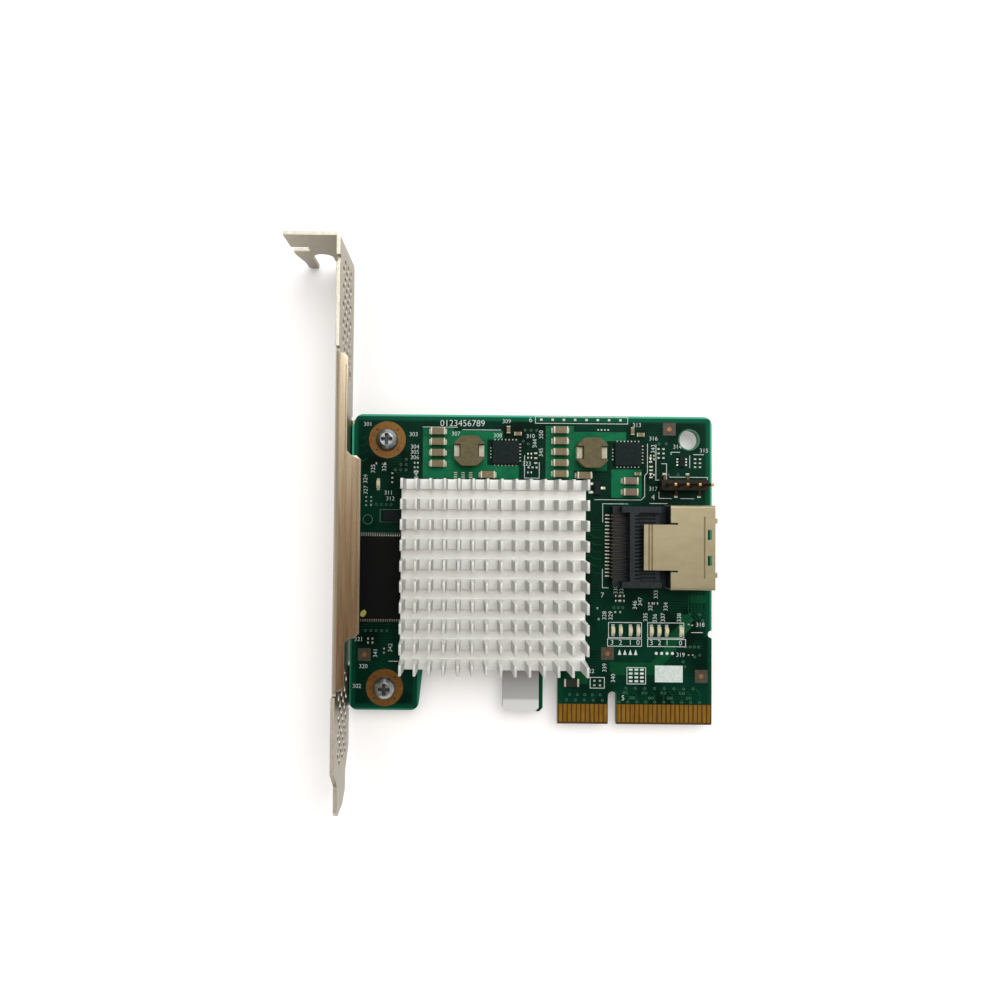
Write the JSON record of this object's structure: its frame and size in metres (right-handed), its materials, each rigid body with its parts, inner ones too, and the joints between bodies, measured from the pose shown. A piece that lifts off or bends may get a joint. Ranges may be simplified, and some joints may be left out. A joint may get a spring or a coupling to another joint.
{
  "type": "host bus adapter",
  "caption": "Plug-in circuit board that joins a computer's bus to drive cables, with a pin-fin heatsink, a shielded cable port, a card edge and a folded, vented mounting bracket.",
  "frame": {"origin": "middle of the key notch at the card edge's bottom, half-way through the board", "axes": "+X from the bracket to the board's far end, +Y from the card edge to the top, +Z out of the component side"},
  "size_m": [0.0931, 0.12, 0.0204],
  "materials": {
    "board": "solder resist over copper",
    "gold": "gold plate",
    "bracket": "satin nickel plate",
    "screw": "bright plate",
    "heatsink": "clear satin",
    "thermal_pad": "soft matt",
    "controller": "matt moulded",
    "flash": "matt moulded",
    "tin_leads": "tin plate",
    "converter": "matt moulded",
    "inductor": "pressed powder",
    "terminal": "tin plate",
    "capacitor": "ceramic with tinned ends",
    "small_capacitor": "ceramic with tinned ends",
    "resistor": "ceramic with tinned ends",
    "port_housing": "moulded",
    "port_shell": "satin plate",
    "port_contact": "plated",
    "header_base": "moulded",
    "header_pin": "plated",
    "fault_lamp": "clear lens",
    "activity_lamp": "clear lens",
    "power_lamp": "clear lens",
    "small_chip": "matt moulded",
    "support_chip": "matt moulded",
    "fuse": "ceramic with tinned ends",
    "film": "satin film"
  },
  "bodies": {
    "root": {"activity_led_0": "activity_lamp", "activity_led_1": "activity_lamp", "activity_led_2": "activity_lamp", "activity_led_3": "activity_lamp", "blank_film": "film", "bracket_screws": "screw", "bypass_capacitor_1": "capacitor", "bypass_capacitor_2": "capacitor", "bypass_capacitor_3": "capacitor", "bypass_capacitor_4": "capacitor", "chip_capacitors": "small_capacitor", "chip_fuse": "fuse", "chip_resistors": "resistor", "circuit_board": "board", "controller_chip": "controller", "converter_left": "converter", "converter_right": "converter", "edge_contacts": "gold", "fault_led_0": "fault_lamp", "fault_led_1": "fault_lamp", "fault_led_2": "fault_lamp", "fault_led_3": "fault_lamp", "flash_memory": "flash", "flash_memory_leads": "tin_leads", "header_base": "header_base", "header_pins": "header_pin", "heatsink": "heatsink", "inductor_left": "inductor", "inductor_left_terminals": "terminal", "inductor_right": "inductor", "inductor_right_terminals": "terminal", "input_capacitor_1": "capacitor", "input_capacitor_2": "capacitor", "input_capacitor_3": "capacitor", "input_capacitor_4": "capacitor", "logic_chip": "small_chip", "logic_chip_leads": "tin_leads", "mounting_bracket": "bracket", "output_capacitor_1": "capacitor", "output_capacitor_2": "capacitor", "output_capacitor_3": "capacitor", "output_capacitor_4": "capacitor", "output_capacitor_5": "capacitor", "port_contacts": "port_contact", "port_housing": "port_housing", "port_shell": "port_shell", "power_led": "power_lamp", "support_chip": "support_chip", "thermal_pad": "thermal_pad", "transistor": "small_chip", "transistor_leads": "tin_leads"}
  },
  "joints": []
}
